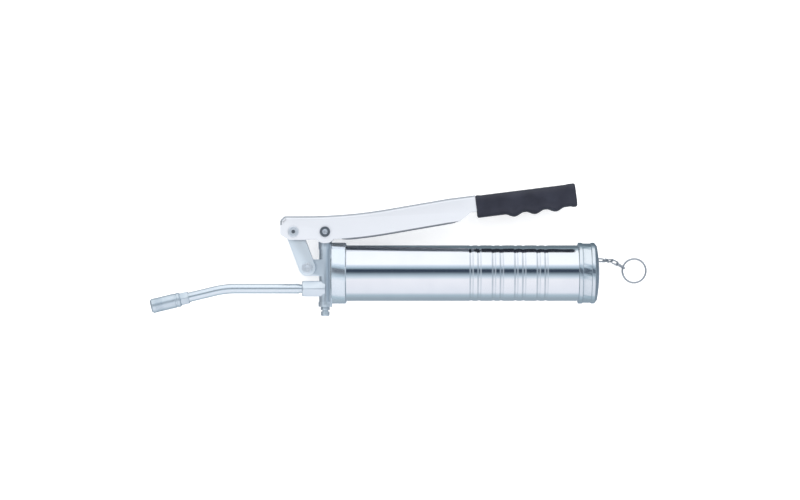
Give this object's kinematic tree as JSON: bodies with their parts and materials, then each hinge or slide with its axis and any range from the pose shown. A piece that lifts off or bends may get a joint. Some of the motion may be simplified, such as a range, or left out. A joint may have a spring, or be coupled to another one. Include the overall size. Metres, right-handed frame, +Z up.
{
  "type": "lever grease gun",
  "caption": "Lever-operated grease gun lying on its side, with a pump head, bent delivery tube, push-on coupler, spring follower, pull chain and ring.",
  "frame": {"origin": "on the barrel's axis, at the middle of the barrel's plain length", "axes": "+X along the barrel towards the rear cap and pull ring, +Y from the barrel towards the lever, +Z up from the surface that the gun lies on"},
  "size_m": [0.5128, 0.1366, 0.0626],
  "materials": {
    "plated_barrel": "bright plated steel",
    "cast_head": "satin plated casting",
    "pressed_lever": "satin plated pressed sheet",
    "tube_steel": "plated drawn tube",
    "coupler_steel": "turned and plated",
    "pin_steel": "turned, plated",
    "plunger_steel": "ground",
    "spring_steel": "drawn wire",
    "chain_steel": "plated wire",
    "black_rubber": "matt",
    "grip_vinyl": "matt, slightly soft"
  },
  "bodies": {
    "gun_body": {"pump_head": "cast_head", "barrel": "plated_barrel", "head_gasket": "black_rubber", "rear_cap": "plated_barrel", "plunger_seal": "black_rubber", "outlet_ball": "plunger_steel", "outlet_spring": "spring_steel", "delivery_tube": "tube_steel", "coupler_body": "coupler_steel", "coupler_sleeve": "coupler_steel", "coupler_jaws": "coupler_steel", "coupler_seal": "black_rubber", "coupler_piston": "plunger_steel", "coupler_spring": "spring_steel", "filler_nipple": "coupler_steel", "filler_ball": "plunger_steel", "filler_spring": "spring_steel", "link_pin": "pin_steel", "link_pin_clip": "spring_steel", "follower_spring": "spring_steel"},
    "plunger": {"plunger": "plunger_steel"},
    "link": {"link": "pressed_lever"},
    "lever": {"lever": "pressed_lever", "grip": "grip_vinyl", "plunger_pin": "pin_steel", "lever_pin": "pin_steel", "lever_pin_clips": "spring_steel"},
    "follower": {"follower_cup": "black_rubber", "front_plate": "pin_steel", "back_plate": "pin_steel", "chain_eye": "chain_steel", "eye_nut": "pin_steel", "inner_chain": "chain_steel"},
    "chain": {"outer_chain": "chain_steel"},
    "ring": {"pull_ring": "chain_steel"}
  },
  "joints": [
    {"name": "link_swing", "type": "hinge", "parent": "gun_body", "child": "link", "pos_m": [-0.1033, 0.0055, 0], "axis": [0, 0, 1], "range_deg": [-17.3, 0]},
    {"name": "lever_hinge", "type": "hinge", "parent": "link", "child": "lever", "pos_m": [-0.11741, 0.0425, 0], "axis": [0, 0, 1], "range_deg": [0, 67]},
    {"name": "plunger_slide", "type": "slide", "parent": "gun_body", "child": "plunger", "axis": [0, 1, 0], "range_m": [0, 0.0278]},
    {"name": "follower_slide", "type": "slide", "parent": "gun_body", "child": "follower", "axis": [1, 0, 0], "range_m": [0, 0.185], "stiffness_N_per_m": 300, "springref_m": -0.15, "deforming": ["follower_spring"]},
    {"name": "chain_swing", "type": "hinge", "parent": "follower", "child": "chain", "pos_m": [0.1946, 0.0134, 0], "axis": [0, -1, 0], "range_deg": [0, 60]},
    {"name": "ring_swing", "type": "hinge", "parent": "chain", "child": "ring", "pos_m": [0.22263, 0.00559, -0.02826], "axis": [-0.2768, -0.9609, 0], "range_deg": [0, 90]}
  ],
  "couplings": [
    {"joint": "link_swing", "follows": "lever_hinge", "ratio": -0.256},
    {"joint": "plunger_slide", "follows": "lever_hinge", "m_per_rad": 0.02356}
  ]
}
